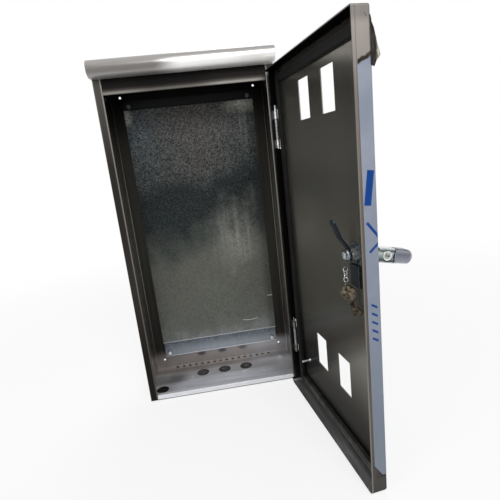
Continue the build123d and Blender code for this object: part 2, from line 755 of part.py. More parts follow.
# Key cylinder: a barrel fixed in the handle and the plug that turns in it
plug_face = handle_thickness / 2 + barrel_proud
with BuildPart() as key_barrel:
    with BuildSketch(handle_side(-handle_thickness / 2)) as barrel_plan:
        with Locations((barrel_from_pivot, 0)):
            Circle(barrel_radius)
    extrude(amount=handle_thickness + barrel_proud)
    with BuildSketch(handle_side(plug_face)) as plug_bore:
        with Locations((barrel_from_pivot, 0)):
            Circle(plug_radius + plug_clearance)
    extrude(amount=-plug_length, mode=Mode.SUBTRACT)
key_barrel.part.label = "key_barrel"

with BuildPart() as key_plug:
    with BuildSketch(handle_side(plug_face)) as plug_plan:
        with Locations((barrel_from_pivot, 0)):
            Circle(plug_radius)
    extrude(amount=-(plug_length - plug_clearance))
    with BuildSketch(handle_side(plug_face)) as keyway:
        with Locations((barrel_from_pivot, 0)):
            Rectangle(keyway_length, keyway_width)
    extrude(amount=-keyway_depth, mode=Mode.SUBTRACT)
key_plug.part.label = "key_plug"

# Key loop over the cam's nut, its chain, the key ring and two keys that lean to the door
loop_y = cam_nut_y + cam_nut_height * loop_place_share
nut_corner_radius = cam_nut_flats / 2 / cos(radians(30))
loop_z = lock_height + nut_corner_radius + loop_room + wire_radius - loop_radius
loop_plan = swung(lock_x, loop_y)


def turned(angle):
    """Level direction of the open door, turned from the shut door's X by an angle in degrees."""
    return heading(cos(radians(angle)), sin(radians(angle)))


def wire_section(z, angle):
    """Upright plane through the hanging line at height z, square to a ring whose axis has that angle."""
    return Plane(origin=(*loop_plan, z), x_dir=(0, 0, 1), z_dir=turned(angle + 90))


def ring_axis(z, angle):
    """Axis of a ring that hangs on the line at height z, at that angle."""
    return Axis(origin=(*loop_plan, z), direction=turned(angle))


with BuildPart() as key_loop:
    with BuildSketch(wire_section(loop_z, 90)) as loop_section:
        with Locations((loop_radius, 0)):
            RegularPolygon(wire_radius, wire_sides)
    revolve(axis=ring_axis(loop_z, 90))
key_loop.part.label = "key_loop"

link_step = 2 * link_radius - 2 * link_wire_radius - link_clearance
first_link_z = loop_z - loop_radius + wire_radius - link_radius + link_wire_radius + link_clearance
with BuildPart() as key_chain:
    for link in range(link_count):
        link_z = first_link_z - link * link_step
        with BuildSketch(wire_section(link_z, link * link_turn)) as link_section:
            with Locations((link_radius, 0)):
                RegularPolygon(link_wire_radius, wire_sides)
        revolve(axis=ring_axis(link_z, link * link_turn))
key_chain.part.label = "key_chain"

last_link_z = first_link_z - (link_count - 1) * link_step
ring_rest = link_clearance + link_wire_radius + key_ring_wire_radius
ring_z = last_link_z - link_radius - key_ring_radius + ring_rest
ring_turn = link_count * link_turn
with BuildPart() as key_ring:
    with BuildSketch(wire_section(ring_z, ring_turn)) as key_ring_section:
        with Locations((key_ring_radius, 0)):
            RegularPolygon(key_ring_wire_radius, wire_sides)
    revolve(axis=ring_axis(ring_z, ring_turn))
key_ring.part.label = "key_ring"

key_step = (key_thickness + key_gap) / 2
ring_dip = (key_ring_radius ** 2 - key_step ** 2) ** 0.5
key_hole_z = ring_z - ring_dip + key_ring_wire_radius - key_hole_radius + key_hang
key_head_drop = key_head_radius - key_hole_edge - key_hole_radius
ring_tangent = turned(ring_turn + 90)
key_across = turned(ring_turn + 180)
key_planes = []
for side, key_lean in zip((-1, 1), key_leans):
    lean = radians(key_lean)
    key_origin = (loop_plan[0] + side * key_step * ring_tangent[0],
                  loop_plan[1] + side * key_step * ring_tangent[1], key_hole_z)
    key_x = (key_across[0] * cos(lean), key_across[1] * cos(lean), sin(lean))
    key_planes.append(Plane(origin=key_origin, x_dir=key_x, z_dir=ring_tangent))
with BuildPart() as keys:
    with BuildSketch(*key_planes) as key_outline:
        with Locations((0, -key_head_drop)):
            Circle(key_head_radius)
            Rectangle(key_blade_width, key_head_radius + key_blade_length, align=(Align.CENTER, Align.MAX))
        with Locations((key_blade_width / 2, -(key_head_drop + key_head_radius + key_blade_length / 2))):
            with GridLocations(0, key_bit_pitch, 1, key_bit_count):
                Rectangle(2 * key_bit_depth, key_bit_pitch / 2, mode=Mode.SUBTRACT)
        Circle(key_hole_radius, mode=Mode.SUBTRACT)
    extrude(amount=key_thickness / 2, both=True)
keys.part.label = "keys"

# Write every piece under its own name
pieces = (wrapper, floor_panel, ceiling_panel, rain_hood, mounting_plate, plate_studs, plate_spacers,
          plate_washers, plate_nuts, hinge_ears, hinge_pins, door_panel, door_gasket, hinge_leaves, door_film,
          lock_body, lock_rear_box, ring_nut, spindle, cam, cam_washer, cam_nut, handle, handle_pin,
          key_barrel, key_plug, key_loop, key_chain, key_ring, keys)
os.makedirs("parts", exist_ok=True)
for piece in pieces:
    export_step(piece.part, f"parts/{piece.part.label}.step")
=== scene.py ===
"""Looks of a stainless distribution box with a rain hood and an open, windowed door."""

import logging
import math
from dataclasses import dataclass, field
from enum import Enum
from typing import Any, Callable, Optional, Sequence, Union

import bpy
from mathutils import Matrix, Vector


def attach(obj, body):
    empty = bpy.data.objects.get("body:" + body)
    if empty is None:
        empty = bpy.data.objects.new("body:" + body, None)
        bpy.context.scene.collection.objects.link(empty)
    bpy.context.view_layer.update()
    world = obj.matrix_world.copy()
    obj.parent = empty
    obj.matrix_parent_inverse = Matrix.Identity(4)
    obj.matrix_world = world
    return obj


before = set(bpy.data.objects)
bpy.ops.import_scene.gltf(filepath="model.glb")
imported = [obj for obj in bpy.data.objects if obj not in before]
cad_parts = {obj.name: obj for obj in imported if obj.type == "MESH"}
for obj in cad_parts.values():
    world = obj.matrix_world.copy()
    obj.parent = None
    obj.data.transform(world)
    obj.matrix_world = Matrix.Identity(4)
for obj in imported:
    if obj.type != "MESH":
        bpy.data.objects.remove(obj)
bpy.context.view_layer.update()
LOG = logging.getLogger("distribution_box")
MM = 0.001
Colour = tuple[float, float, float, float]
Value = Union[float, "Sig", Sequence[float]]


class Run(Enum):
    """Direction in which a sheet was brushed, as the stretch of its grain along X, Y and Z."""

    ACROSS = (0.012, 1.0, 1.0)
    DEEP = (1.0, 0.012, 1.0)
    UP = (1.0, 1.0, 0.012)


def hue(red: float, green: float, blue: float) -> Colour:
    """Gives the linear colour of a screen colour.

    Args:
        red: Screen red, 0 to 255.
        green: Screen green, 0 to 255.
        blue: Screen blue, 0 to 255.

    Returns:
        The linear colour with full alpha.
    """
    def linear(part: float) -> float:
        """Turns one screen part into light."""
        share = part / 255
        return share / 12.92 if share <= 0.04045 else ((share + 0.055) / 1.055) ** 2.4
    return (linear(red), linear(green), linear(blue), 1.0)


class Sig:
    """A shader socket on which sums are written as Python expressions."""

    def __init__(self, graph: "Graph", socket: bpy.types.NodeSocket) -> None:
        """Wraps one output socket of a graph."""
        self.graph = graph
        self.socket = socket

    def _sum(self, operation: str, first: Value, second: Value) -> "Sig":
        """Adds one Math node."""
        return self.graph.node("ShaderNodeMath", {"operation": operation}, {0: first, 1: second})

    def __add__(self, other: Value) -> "Sig":
        """Self plus other."""
        return self._sum("ADD", self, other)

    def __radd__(self, other: Value) -> "Sig":
        """Other plus self."""
        return self._sum("ADD", other, self)

    def __sub__(self, other: Value) -> "Sig":
        """Self less other."""
        return self._sum("SUBTRACT", self, other)

    def __rsub__(self, other: Value) -> "Sig":
        """Other less self."""
        return self._sum("SUBTRACT", other, self)

    def __mul__(self, other: Value) -> "Sig":
        """Self times other."""
        return self._sum("MULTIPLY", self, other)

    def __rmul__(self, other: Value) -> "Sig":
        """Other times self."""
        return self._sum("MULTIPLY", other, self)

    def __truediv__(self, other: Value) -> "Sig":
        """Self over other."""
        return self._sum("DIVIDE", self, other)

    def __abs__(self) -> "Sig":
        """Size of self."""
        return self._sum("ABSOLUTE", self, 0.0)

    def above(self, other: Value) -> "Sig":
        """The larger of self and other."""
        return self._sum("MAXIMUM", self, other)

    def below(self, other: Value) -> "Sig":
        """The smaller of self and other."""
        return self._sum("MINIMUM", self, other)

    def beat(self, pitch: float) -> "Sig":
        """Distance from the middle of each pitch, as a share of the pitch from 0 to a half."""
        return abs(self._sum("FRACT", self / pitch, 0.0) - 0.5)

    def rise(self, start: float, end: float) -> "Sig":
        """Smooth step of self from 0 at start to 1 at end.

        Args:
            start: Value at which the step starts.
            end: Value at which it ends; a smaller end gives a falling step.

        Returns:
            The step as a share.
        """
        swap = end < start
        low, high = (end, start) if swap else (start, end)
        ends = {"To Min": 1.0, "To Max": 0.0} if swap else {"To Min": 0.0, "To Max": 1.0}
        return self.graph.node("ShaderNodeMapRange", {"interpolation_type": "SMOOTHSTEP"},
                               {"Value": self, "From Min": low, "From Max": high, **ends})

    def band(self, low: float, high: float, soft: float) -> "Sig":
        """One between low and high, with soft ends."""
        return self.rise(low - soft, low + soft) * self.rise(high + soft, high - soft)


class Graph:
    """The node graph of one material or world."""

    def __init__(self, name: str, owner: Optional[bpy.types.World] = None) -> None:
        """Starts a material, or the given world, with an empty graph."""
        self.material = owner or bpy.data.materials.new(name)
        self.material.use_nodes = True
        self.tree = self.material.node_tree
        self.tree.nodes.clear()

    def node(self, kind: str, settings: Optional[dict[str, Any]] = None,
             inputs: Optional[dict[Union[int, str], Value]] = None, output: Union[int, str] = 0) -> Sig:
        """Adds a node.

        Args:
            kind: Type name of the node.
            settings: Properties that are set first; stops holds a ramp's positions and colours.
            inputs: Values or links by socket index, identifier or name.
            output: Index or identifier of the wanted output.

        Returns:
            The wanted output.
        """
        made = self.tree.nodes.new(kind)
        for key, value in (settings or {}).items():
            if key == "stops":
                ramp = made.color_ramp
                while len(ramp.elements) < len(value):
                    ramp.elements.new(0.5)
                for element, (place, colour) in zip(ramp.elements, value):
                    element.position = place
                    element.color = colour
            else:
                setattr(made, key, value)
        for key, value in (inputs or {}).items():
            socket = made.inputs[key] if isinstance(key, int) else self._find(made.inputs, key)
            if isinstance(value, Sig):
                self.tree.links.new(value.socket, socket)
            else:
                socket.default_value = value
        found = made.outputs[output] if isinstance(output, int) else self._find(made.outputs, output)
        return Sig(self, found)

    @staticmethod
    def _find(sockets: Any, key: str) -> bpy.types.NodeSocket:
        """Finds a socket by its identifier, or else by its name."""
        for socket in sockets:
            if socket.identifier == key:
                return socket
        return sockets[key]

    def here(self) -> Sig:
        """Place on the piece, in metres of the shared frame."""
        return self.node("ShaderNodeTexCoord", output="Object")

    def split(self, vector: Sig) -> tuple[Sig, Sig, Sig]:
        """Splits a vector into its three parts."""
        first = self.node("ShaderNodeSeparateXYZ", None, {0: vector})
        return tuple(Sig(self, socket) for socket in first.socket.node.outputs)

    def turned(self, vector: Sig, stretch: Sequence[float], shift: Sequence[float] = (0, 0, 0),
               angle: float = 0.0) -> Sig:
        """Stretches, turns about Z and shifts a vector, in that order."""
        return self.node("ShaderNodeMapping", None, {"Vector": vector, "Location": tuple(shift),
                                                     "Rotation": (0, 0, angle), "Scale": tuple(stretch)})

    def noise(self, place: Sig, scale: float, detail: float = 3.0, rough: float = 0.55) -> Sig:
        """Soft noise of the given number of patches in a metre."""
        return self.node("ShaderNodeTexNoise", None,
                         {"Vector": place, "Scale": scale, "Detail": detail, "Roughness": rough})

    def grain(self, place: Sig, run: Run, scale: float = 900.0) -> Sig:
        """Fine brushed lines along one direction."""
        return self.noise(self.turned(place, run.value), scale, 4.0, 0.6)

    def cells(self, place: Sig, scale: float) -> Sig:
        """A random number in each of many crystal shaped cells."""
        colour = self.node("ShaderNodeTexVoronoi", {"feature": "F1"}, {"Vector": place, "Scale": scale}, "Color")
        return self.split(colour)[0]

    def mix(self, share: Value, first: Value, second: Value) -> Sig:
        """Colour that goes from first to second as share goes from 0 to 1."""
        return self.node("ShaderNodeMix", {"data_type": "RGBA"},
                         {"Factor_Float": share, "A_Color": first, "B_Color": second}, "Result_Color")

    def ladder(self, value: Sig, low: float, high: float, stops: Sequence[tuple[float, Colour]]) -> Sig:
        """Colour that follows its stops as value goes from low to high.

        Args:
            value: What the colour follows.
            low: Value at the lowest end.
            high: Value at the highest end.
            stops: Values and the colours there, in rising order.

        Returns:
            The colour.
        """
        shares = [((place - low) / (high - low), colour) for place, colour in stops]
        share = (value - low) * (1 / (high - low))
        return self.node("ShaderNodeValToRGB", {"stops": shares}, {"Fac": share}, "Color")

    def away(self, first: Value, second: Value) -> Sig:
        """Distance of which first and second are the two level parts."""
        return self.node("ShaderNodeMath", {"operation": "SQRT"}, {0: first * first + second * second})

    def shade(self, colour: Value, share: Value) -> Sig:
        """Colour multiplied by a number."""
        parts = colour if isinstance(colour, Sig) else colour[:3]
        return self.node("ShaderNodeVectorMath", {"operation": "SCALE"}, {0: parts, "Scale": share})

    def dents(self, height: Sig, depth: float, strength: float = 1.0) -> Sig:
        """Normal of a surface that rises by depth metres where height goes from 0 to 1."""
        return self.node("ShaderNodeBump", None, {"Strength": strength, "Distance": depth, "Height": height})

    def surface(self, inputs: dict[str, Value]) -> bpy.types.Material:
        """Closes the graph with one surface shader and gives its material."""
        shader = self.node("ShaderNodeBsdfPrincipled", None, inputs)
        self.node_output(shader)
        return self.material

    def node_output(self, shader: Sig, kind: str = "ShaderNodeOutputMaterial") -> None:
        """Links a shader to the output of the material or the world."""
        made = self.tree.nodes.new(kind)
        self.tree.links.new(shader.socket, made.inputs["Surface"])


@dataclass(frozen=True)
class DoorPlace:
    """Where the open door stands: its hinge, its angle and its outer face."""

    hinge: tuple[float, float] = (144.5 * MM, -77.0 * MM)
    angle: float = math.radians(97.57)
    outer: float = -85.8 * MM

    def point(self, across: float, inward: float, up: float) -> Vector:
        """World place of a place on the shut door.

        Args:
            across: Shut door's X in metres.
            inward: Depth behind the outer face in metres.
            up: Height in metres.

        Returns:
            The place on the open door.
        """
        run, rise = across - self.hinge[0], self.outer + inward - self.hinge[1]
        turn_x, turn_y = math.cos(self.angle), math.sin(self.angle)
        return Vector((self.hinge[0] + run * turn_x - rise * turn_y,
                       self.hinge[1] + run * turn_y + rise * turn_x, up))

    def matrix(self) -> Matrix:
        """Matrix from the shut door's across, inward and up to the world."""
        start = self.point(0, 0, 0)
        columns = (self.point(1, 0, 0) - start, self.point(0, 1, 0) - start, Vector((0, 0, 1)), start)
        return Matrix([[column[row] for column in columns] for row in range(3)] + [[0, 0, 0, 1]])

    def local(self, graph: Graph) -> Sig:
        """Shader vector of the shut door's across, inward and up, in metres."""
        back = self.matrix().inverted()
        return graph.turned(graph.here(), (1, 1, 1), back.translation, -self.angle)


DOOR = DoorPlace()


@dataclass(frozen=True)
class WrapperSheet:
    """Sheet of the sides, the back and the upright rims: grey outside, streaked within, with painted light, shade and
    reflections inside and on the rims.
    """

    name: str = "stainless_wrapper"
    outside: Colour = hue(158, 155, 151)
    hem_highlight: Colour = hue(150, 147, 142)
    # Tone of the back wall's foot, pale as a painted reflection of the floor.
    back: Colour = hue(180, 174, 171)
    disc_pitch: float = 0.047
    # Height of the painted reflections of the knock-outs on the back wall.
    disc_mirror: float = 0.0230

    def material(self) -> bpy.types.Material:
        """Makes the material."""
        graph = Graph(self.name)
        place = graph.here()
        across, deep, up = graph.split(place)
        side = abs(across)
        grain = graph.grain(place, Run.UP)
        patch = graph.noise(graph.turned(place, (1.0, 1.0, 0.25)), 18.0, 4.0)
        streak = graph.noise(graph.turned(place, (1.0, 1.0, 0.03)), 130.0, 3.0)
        outer = side.rise(0.1491, 0.1497).above(deep.rise(0.0619, 0.0624))
        front = deep.rise(-0.0606, -0.0618)
        # Inner edges of the front rims, which carry a painted highlight.
        hem_highlight = side.rise(0.1392, 0.1374) * deep.rise(-0.0596, -0.0602)
        low = deep.rise(0.055, 0.060) * up.rise(0.046, 0.020)
        # Inner walls: painted shade, darker towards the top.
        within = graph.ladder(up + patch * 0.04, 0.0, 0.6, [
            (0.03, hue(110, 107, 103)), (0.10, hue(90, 88, 84)), (0.30, hue(94, 93, 88)), (0.47, hue(84, 82, 77)),
            (0.57, hue(52, 51, 48))])
        # Painted light on the side walls, most near the front and at mid height; painted shade on the back wall.
        flank = side.rise(0.1470, 0.1480) * (1.3 + deep.rise(0.040, 0.006) * 1.6 + up.band(0.14, 0.42, 0.10) * 1.2)
        within = graph.shade(within, (0.55 + streak * 0.9) * (flank + side.rise(0.1480, 0.1470) * 0.42))
        # Front rims: painted shade low down and a painted highlight near the top.
        rim = graph.ladder(up + patch * 0.03, 0.0, 0.6, [
            (0.03, hue(28, 25, 22)), (0.10, hue(28, 25, 22)), (0.24, hue(50, 46, 42)), (0.36, hue(42, 38, 35)),
            (0.46, hue(44, 41, 38)), (0.57, hue(70, 67, 64))])
        # Painted reflections of the knock-outs: dark discs low on the back wall.
        along = (across + self.disc_pitch / 2).beat(self.disc_pitch) * self.disc_pitch
        painted_disc_reflection = graph.away(along, (up - self.disc_mirror) * 1.8).rise(0.0135, 0.0040)
        back = graph.shade(self.back, 1 - painted_disc_reflection * side.rise(0.0700, 0.0690) * 0.62)
        # The back wall's foot is painted pale as a painted reflection of the floor, paler still towards the right.
        tone = graph.mix(low, within, graph.mix(across.rise(0.02, 0.11) * 0.8, back, hue(206, 207, 212)))
        tone = graph.mix(front, tone, rim)
        tone = graph.mix(outer * (1 - front), tone, self.outside)
        # Painted highlight along the rims' inner edges, stronger higher up.
        tone = graph.mix(hem_highlight * (0.12 + streak * 0.3 + up.rise(0.08, 0.40) * 0.42), tone, self.hem_highlight)
        tone = graph.shade(tone, 0.66 + grain * 0.36 + patch * 0.32)
        return graph.surface({"Base Color": tone, "Metallic": 0.85, "Roughness": 0.27 + patch * 0.16,
                              "Normal": graph.dents(grain, 0.00010, 0.45)})


@dataclass(frozen=True)
class FloorSheet:
    """Floor sheet: pale and shiny, with darkened knock-outs, painted light and shade, painted shadows, vent holes
    painted dark, painted glints and a painted highlight on the sill.
    """

    name: str = "stainless_floor"
    pale: Colour = hue(214, 214, 219)
    # Tone of the painted shade towards the back.
    far: Colour = hue(146, 140, 138)
    # Tone of the painted highlight on the sill.
    sill: Colour = hue(228, 229, 235)
    pitch: float = 0.047
    row: float = 0.0145
    vent_pitch: float = 0.0138
    vent_row: float = 0.0550

    def material(self) -> bpy.types.Material:
        """Makes the material."""
        graph = Graph(self.name)
        place = graph.here()
        across, deep, up = graph.split(place)
        grain = graph.grain(place, Run.ACROSS)
        dust = graph.noise(place, 34.0, 5.0)
        sweep = graph.noise(graph.turned(place, (0.10, 1.0, 1.0)), 70.0, 4.0)
        # Painted light and shade: paler at the front, darker towards the back.
        tone = graph.mix(deep.rise(-0.01, 0.055), self.pale, self.far)
        tone = graph.shade(tone, 0.66 + sweep * 1.05)
        # Painted shadows: a band behind the knock-outs and a patch at the left front.
        painted_shadow = deep.band(0.030, 0.048, 0.010) * (0.5 + dust)
        painted_shadow = painted_shadow + across.rise(-0.070, -0.100) * deep.band(-0.012, 0.022, 0.012)
        tone = graph.shade(tone, 1 - painted_shadow.below(1.0) * 0.62)
        # Painted light towards the right.
        tone = graph.mix(across.rise(0.04, 0.11) * deep.band(-0.03, 0.035, 0.015) * 0.7, tone, self.pale)
        round_disc = graph.away((across + self.pitch / 2).beat(self.pitch) * self.pitch, deep - self.row)
        disc = round_disc.rise(0.0134, 0.0124) * abs(across).rise(0.0700, 0.0695)
        # Painted glints inside the knock-outs.
        glint = graph.noise(place, 420.0, 2.0).rise(0.50, 0.62) * round_disc.rise(0.0090, 0.0078)
        tone = graph.mix(disc * 0.92, tone, graph.mix(glint, hue(34, 33, 35), hue(150, 149, 151)))
        # Vent holes painted dark, as painted shade in the holes.
        vent = graph.away(across.beat(self.vent_pitch) * self.vent_pitch, deep - self.vent_row).rise(0.0040, 0.0030)
        tone = graph.mix(vent * abs(across).rise(0.1115, 0.1105), tone, hue(22, 20, 20))
        # Painted highlight on the sill.
        tone = graph.mix(deep.rise(-0.0500, -0.0560), tone, self.sill)
        # Painted shadow line along the sill's foot.
        tone = graph.mix(up.rise(0.0014, 0.0006), tone, hue(74, 73, 72))
        tone = graph.shade(tone, 0.74 + grain * 0.22 + dust * 0.26)
        return graph.surface({"Base Color": tone, "Metallic": 0.36, "Roughness": 0.18 + dust * 0.14,
                              "Normal": graph.dents(grain, 0.00008, 0.4)})


@dataclass(frozen=True)
class CeilingSheet:
    """Ceiling sheet and top rim: the ceiling painted dark, and the rim painted with the hood's shade, paling to a
    painted highlight at its hemmed lower edge.
    """

    name: str = "stainless_top_rim"

    def material(self) -> bpy.types.Material:
        """Makes the material."""
        graph = Graph(self.name)
        place = graph.here()
        across, deep, up = graph.split(place)
        grain = graph.grain(place, Run.ACROSS)
        patch = graph.noise(graph.turned(place, (0.3, 1.0, 1.0)), 30.0, 4.0)
        front = deep.rise(-0.0598, -0.0604)
        # Painted shade from the hood at the top of the rim, paling to a painted highlight at its lower edge.
        rim = graph.ladder(up + patch * 0.002, 0.560, 0.600, [
            (0.5672, hue(76, 76, 71)), (0.5682, hue(116, 113, 108)), (0.5705, hue(118, 115, 110)),
            (0.5735, hue(62, 58, 55)), (0.5770, hue(27, 25, 23)), (0.5800, hue(20, 18, 17)),
            (0.5860, hue(14, 13, 12))])
        # Painted shade, deeper in the middle of the rim.
        rim = graph.shade(rim, 1 - abs(across + 0.02).rise(0.09, 0.03) * 0.55)
        # The ceiling within is painted dark, as painted shade.
        tone = graph.mix(front, hue(40, 38, 36), rim)
        # Painted highlight along the lower edge of the rim's return.
        tone = graph.mix((1 - front) * up.rise(0.5690, 0.5675), tone, hue(196, 194, 186))
        tone = graph.shade(tone, 0.70 + grain * 0.34 + patch * 0.28)
        return graph.surface({"Base Color": tone, "Metallic": 0.9, "Roughness": 0.30 + patch * 0.14,
                              "Normal": graph.dents(grain, 0.00010, 0.5)})


@dataclass(frozen=True)
class HoodSheet:
    """Rolled hood of brushed sheet: a painted highlight band along its front, painted shade at its left end, and
    streaks along its length.
    """

    name: str = "stainless_hood"
    # Tone of the painted highlight band.
    painted_highlight: Colour = hue(252, 251, 250)
    crown: Colour = hue(166, 164, 162)
    # Tone of the painted shade at the left end.
    shaded_band: Colour = hue(123, 120, 118)
    paler_tone: Colour = hue(166, 163, 161)

    def material(self) -> bpy.types.Material:
        """Makes the material."""
        graph = Graph(self.name)
        place = graph.here()
        across, _, up = graph.split(place)
        grain = graph.grain(place, Run.ACROSS, 1100.0)
        streak_and_sheen = graph.noise(graph.turned(place, (0.10, 1.0, 1.0)), 60.0, 4.0)
        drift = across + (streak_and_sheen - 0.5) * 0.05
        level = up + (streak_and_sheen - 0.5) * 0.004 + drift.rise(0.06, 0.10) * 0.0035
        # Painted highlight band across the front; the crown above keeps the plain tone.
        tone = graph.mix(level.rise(0.6125, 0.6035), self.crown, self.painted_highlight)
        # Painted shade at the left end, darkest in a middle band.
        shaded_left_end = graph.mix(level.rise(0.6060, 0.6130).above(up.rise(0.5985, 0.5935)), self.shaded_band, self.paler_tone)
        tone = graph.mix(drift.rise(0.0, -0.055), tone, shaded_left_end)
        tone = graph.shade(tone, 0.78 + grain * 0.44)
        return graph.surface({"Base Color": tone, "Metallic": 0.93 - up.rise(0.603, 0.595) * 0.5,
                              "Roughness": 0.26 + streak_and_sheen * 0.15, "Normal": graph.dents(grain + streak_and_sheen * 0.4, 0.00014, 0.5)})


@dataclass(frozen=True)
class SpangledZinc:
    """Galvanised plate: fine dark spangle above, a smoother olive grey below, painted shade darkening it upwards, on
    its top flange and at its right end, painted pale reflections at the right and painted highlights on its foot.
    """

    name: str = "galvanised_plate"
    # Tone of the painted pale reflections.
    pale: Colour = hue(176, 176, 168)
    arc_tone: Colour = hue(214, 214, 208)
    bow_place: tuple[float, float] = (0.0700, 0.0972)
    mark_height: float = 0.1468

    def material(self) -> bpy.types.Material:
        """Makes the material."""
        graph = Graph(self.name)
        place = graph.here()
        across, _, up = graph.split(place)
        broad = graph.noise(place, 8.0, 3.0)
        cloud = graph.noise(place, 34.0, 4.0)
        stir = graph.node("ShaderNodeTexNoise", None, {"Vector": place, "Scale": 220.0}, "Color")
        wander = graph.node("ShaderNodeVectorMath", {"operation": "ADD"}, {0: place, 1: graph.shade(stir, 0.005)})
        speck = (graph.cells(wander, 620.0) * 0.55 + graph.cells(wander, 300.0) * 0.45).rise(0.12, 0.88)
        level = up - across * 0.12 + (broad - 0.5) * 0.16 + (cloud - 0.5) * 0.05
        # Tone by height: the plate's own mottle, with painted shade that is darkest in a band above the middle.
        ground = graph.ladder(level, 0.0, 0.6, [
            (0.060, hue(126, 130, 129)), (0.092, hue(102, 104, 99)), (0.120, hue(94, 96, 90)),
            (0.235, hue(90, 91, 85)), (0.275, hue(68, 72, 68)), (0.315, hue(31, 38, 38)), (0.390, hue(22, 29, 30)),
            (0.440, hue(56, 60, 60)), (0.540, hue(68, 70, 69))])
        upper = level.rise(0.27, 0.36)
        warm = level.rise(0.390, 0.460) * across.band(-0.045, 0.070, 0.05)
        ground = graph.mix(warm * 0.5, ground, hue(72, 66, 63))
        cool = level.rise(0.430, 0.490) * across.rise(-0.060, -0.100)
        ground = graph.mix(cool * 0.6, ground, hue(66, 74, 80))
        tone = graph.shade(ground, 1.0 + (speck - 0.5) * (0.40 + upper * 1.10))
        fleck = graph.noise(wander, 340.0, 2.0)
        tone = graph.mix(upper * fleck.rise(0.54, 0.68) * 0.15, tone, hue(104, 116, 118))
        tone = graph.shade(tone, 1 - level.rise(0.24, 0.33) * fleck.rise(0.50, 0.36) * 0.72)
        # Painted pale reflections: a glow at the middle right, the top corners and streaks near the right edge.
        glow = across.band(0.030, 0.100, 0.040) * (level + cloud * 0.03).band(0.235, 0.345, 0.05)
        corner = across.rise(0.050, 0.105) * (up + broad * 0.03).band(0.548, 0.566, 0.012)
        corner = corner.above(across.rise(-0.106, -0.118) * (up + cloud * 0.02).band(0.536, 0.563, 0.008) * 0.8)
        streak = graph.noise(graph.turned(place, (1, 1, 0.04)), 110.0).rise(0.48, 0.70)
        edge = across.band(0.085, 0.105, 0.008) * streak * up.rise(0.42, 0.50)
        streak_and_sheen = (glow * (0.20 + speck * 0.20 + streak * 0.2) + corner * (0.4 + speck * 0.6) + edge * 0.16).below(0.9)
        tone = graph.mix(streak_and_sheen, tone, self.pale)
        # Painted shadow on the top flange.
        tone = graph.mix(up.rise(0.5505, 0.5535), tone, hue(22, 23, 24))
        foot = up.rise(0.0715, 0.0700)
        # Painted shade towards the right wall.
        tone = graph.shade(tone, 1 - across.rise(0.100, 0.122) * 0.42)
        # Foot flange: its own blotches, with painted shade at the bend that pales towards the lower edge.
        blotch = graph.mix((speck * 0.7 + cloud.rise(0.35, 0.65) * 0.3), hue(88, 95, 103), hue(136, 143, 153))
        tone = graph.mix(foot, tone, graph.mix(up.rise(0.064, 0.040), blotch, hue(160, 167, 176)))
        # Painted highlights along the foot's bend and its lower edge.
        painted_highlight = (up.band(0.0702, 0.0730, 0.0012) * 0.6).above(up.rise(0.0378, 0.0362))
        tone = graph.mix(painted_highlight * 0.85, tone, hue(232, 236, 240))
        # Two thin pale arcs across the plate.
        off = across - self.bow_place[0]
        bow = abs(up - self.bow_place[1] - off * off * 8.0).rise(0.0010, 0.0004)
        thin_mark = abs(up - self.mark_height).rise(0.0009, 0.0004) * across.rise(0.111, 0.114)
        pale_arcs = (bow * across.band(0.0540, 0.0860, 0.003)).above(thin_mark)
        tone = graph.mix(pale_arcs * 0.8, tone, self.arc_tone)
        grain = graph.grain(place, Run.UP, 500.0)
        tone = graph.shade(tone, 0.80 + grain * 0.40)
        return graph.surface({"Base Color": tone, "Metallic": 0.60, "Roughness": 0.36 + speck * 0.16,
                              "Normal": graph.dents(speck * 0.6 + broad, 0.00018, 0.35)})


